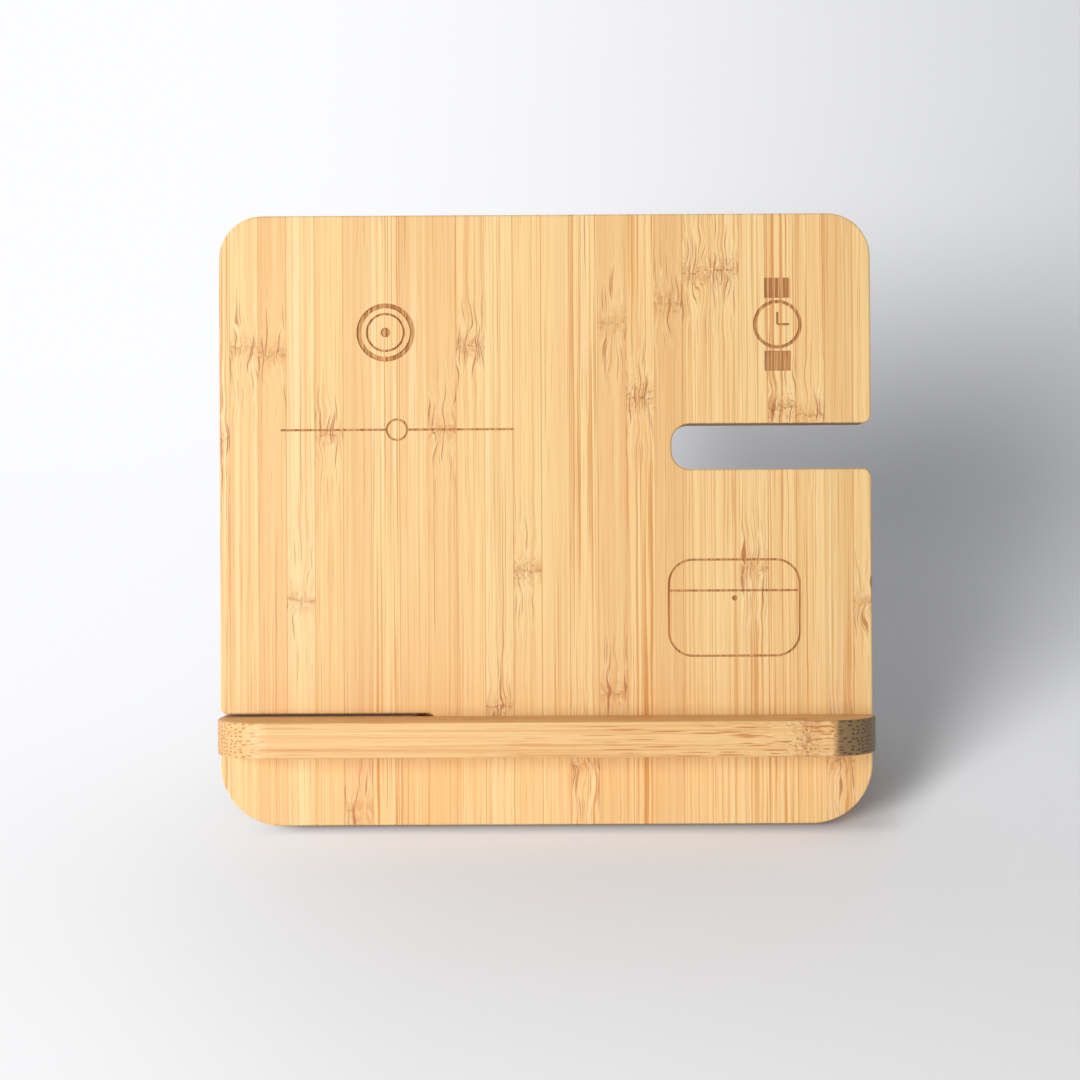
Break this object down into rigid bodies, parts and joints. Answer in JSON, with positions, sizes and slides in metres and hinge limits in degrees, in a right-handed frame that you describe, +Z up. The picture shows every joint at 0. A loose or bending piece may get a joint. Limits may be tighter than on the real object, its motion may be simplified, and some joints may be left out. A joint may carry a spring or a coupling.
{
  "type": "charging station organizer",
  "caption": "Leaning bamboo charging stand: a slotted back board with hidden coils for phone, watch and earbuds, crossed by a lap-jointed ledge that is also its rear foot.",
  "frame": {"origin": "middle of the stand's base on the surface that it stands on", "axes": "+X to the right seen from the front, -Y out of the front, +Z up; the back board leans back by 17.3 degrees"},
  "size_m": [0.15, 0.0768, 0.1358],
  "materials": {
    "board_bamboo": "satin, eased edges",
    "ledge_bamboo": "satin, eased edges",
    "cover_plastic": "fine matte moulding",
    "screw_steel": "zinc plated",
    "coil_copper": "enamelled",
    "ferrite_grey": "dull",
    "foam_white": "dull foam",
    "magnet_nickel": "nickel plated",
    "board_green": "solder mask",
    "chip_black": "moulded",
    "capacitor_tan": "ceramic",
    "inductor_grey": "sintered",
    "socket_steel": "drawn sheet",
    "tongue_black": "moulded",
    "led_white": "clear cap",
    "guide_clear": "polished end"
  },
  "bodies": {
    "board": {"back_board": "board_bamboo", "rear_cover": "cover_plastic", "cover_screws": "screw_steel", "phone_coil": "coil_copper", "phone_ferrite": "ferrite_grey", "phone_pad": "foam_white", "phone_leads": "coil_copper", "thermistor": "chip_black", "watch_coil": "coil_copper", "watch_magnet": "magnet_nickel", "watch_ferrite": "ferrite_grey", "watch_pad": "foam_white", "watch_leads": "coil_copper", "buds_coil": "coil_copper", "buds_ferrite": "ferrite_grey", "buds_pad": "foam_white", "buds_leads": "coil_copper", "circuit_board": "board_green", "board_screws": "screw_steel", "control_chips": "chip_black", "capacitors": "capacitor_tan", "inductors": "inductor_grey", "usb_c_shell": "socket_steel", "usb_c_tongue": "tongue_black", "status_led": "led_white", "light_guide": "guide_clear"},
    "ledge": {"ledge_plate": "ledge_bamboo"}
  },
  "joints": [
    {"name": "ledge_slide", "type": "slide", "parent": "board", "child": "ledge", "axis": [-1, 0, 0], "range_m": [0, 0.105]}
  ]
}
